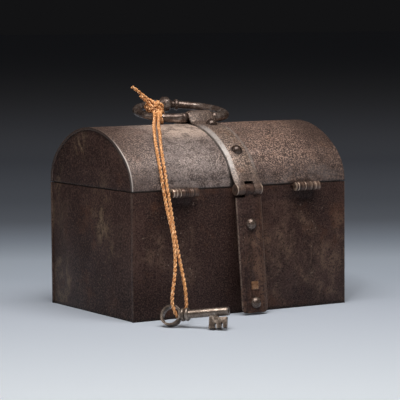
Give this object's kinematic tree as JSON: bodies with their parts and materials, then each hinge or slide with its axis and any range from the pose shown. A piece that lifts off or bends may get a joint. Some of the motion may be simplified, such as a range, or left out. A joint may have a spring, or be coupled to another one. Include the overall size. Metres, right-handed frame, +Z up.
{
  "type": "casket",
  "caption": "Small antique iron casket with a domed hinged lid, a riveted strap, a forged ring handle and a key hanging on a loop of twine",
  "frame": {"origin": "Middle of the box's flat underside", "axes": "+X along the length, -Y towards the hinge face that is pictured, +Y towards the lock face, +Z up"},
  "size_m": [0.19, 0.2041, 0.1713],
  "materials": {
    "sheet_iron": "old pitted brown-grey patina, semi-gloss",
    "forged_iron": "forged, worn bright at the edges, rust in the hollows",
    "twine": "two-ply natural twine, matt"
  },
  "bodies": {
    "box": {"bottom_plate": "sheet_iron", "back_panel": "sheet_iron", "front_panel": "sheet_iron", "left_end_panel": "sheet_iron", "right_end_panel": "sheet_iron", "left_hinge_body_leaf": "forged_iron", "right_hinge_body_leaf": "forged_iron", "body_leaf_rivets": "forged_iron", "left_hinge_pin": "forged_iron", "right_hinge_pin": "forged_iron", "lock_plate": "forged_iron", "bolt_guides": "forged_iron", "bolt_spring": "forged_iron", "key_post": "forged_iron", "lock_rivets": "forged_iron", "cord_lower_loop": "twine", "casket_key": "forged_iron"},
    "leaf": {"hanging_leaf": "forged_iron", "leaf_rivets": "forged_iron", "leaf_stud": "forged_iron"},
    "lid": {"lid_shell": "sheet_iron", "lid_left_end": "sheet_iron", "lid_right_end": "sheet_iron", "lid_strap": "forged_iron", "lid_strap_rivets": "forged_iron", "centre_hinge_pin": "forged_iron", "left_hinge_lid_leaf": "forged_iron", "right_hinge_lid_leaf": "forged_iron", "lid_leaf_rivets": "forged_iron", "lid_catch": "forged_iron", "lid_catch_rivets": "forged_iron", "cord_upper_left": "twine", "cord_upper_right": "twine"},
    "handle": {"handle_ring": "forged_iron", "cord_knot": "twine", "cord_tail": "twine"},
    "bolt": {"lock_bolt": "forged_iron"}
  },
  "joints": [
    {"name": "lid_hinge", "type": "hinge", "parent": "box", "child": "lid", "pos_m": [0, -0.07, 0.094], "axis": [1, 0, 0], "range_deg": [0, 90], "deforming": ["cord_lower_loop"]},
    {"name": "leaf_swing", "type": "hinge", "parent": "box", "child": "leaf", "pos_m": [0.002, -0.07, 0.094], "axis": [-1, 0, 0], "range_deg": [0, 20]},
    {"name": "handle_swing", "type": "hinge", "parent": "lid", "child": "handle", "pos_m": [0.002, 0, 0.1455], "axis": [1, 0, 0], "range_deg": [0, 120], "deforming": ["cord_upper_left", "cord_upper_right"]},
    {"name": "bolt_slide", "type": "slide", "parent": "box", "child": "bolt", "axis": [1, 0, 0], "range_m": [0, 0.008]}
  ]
}
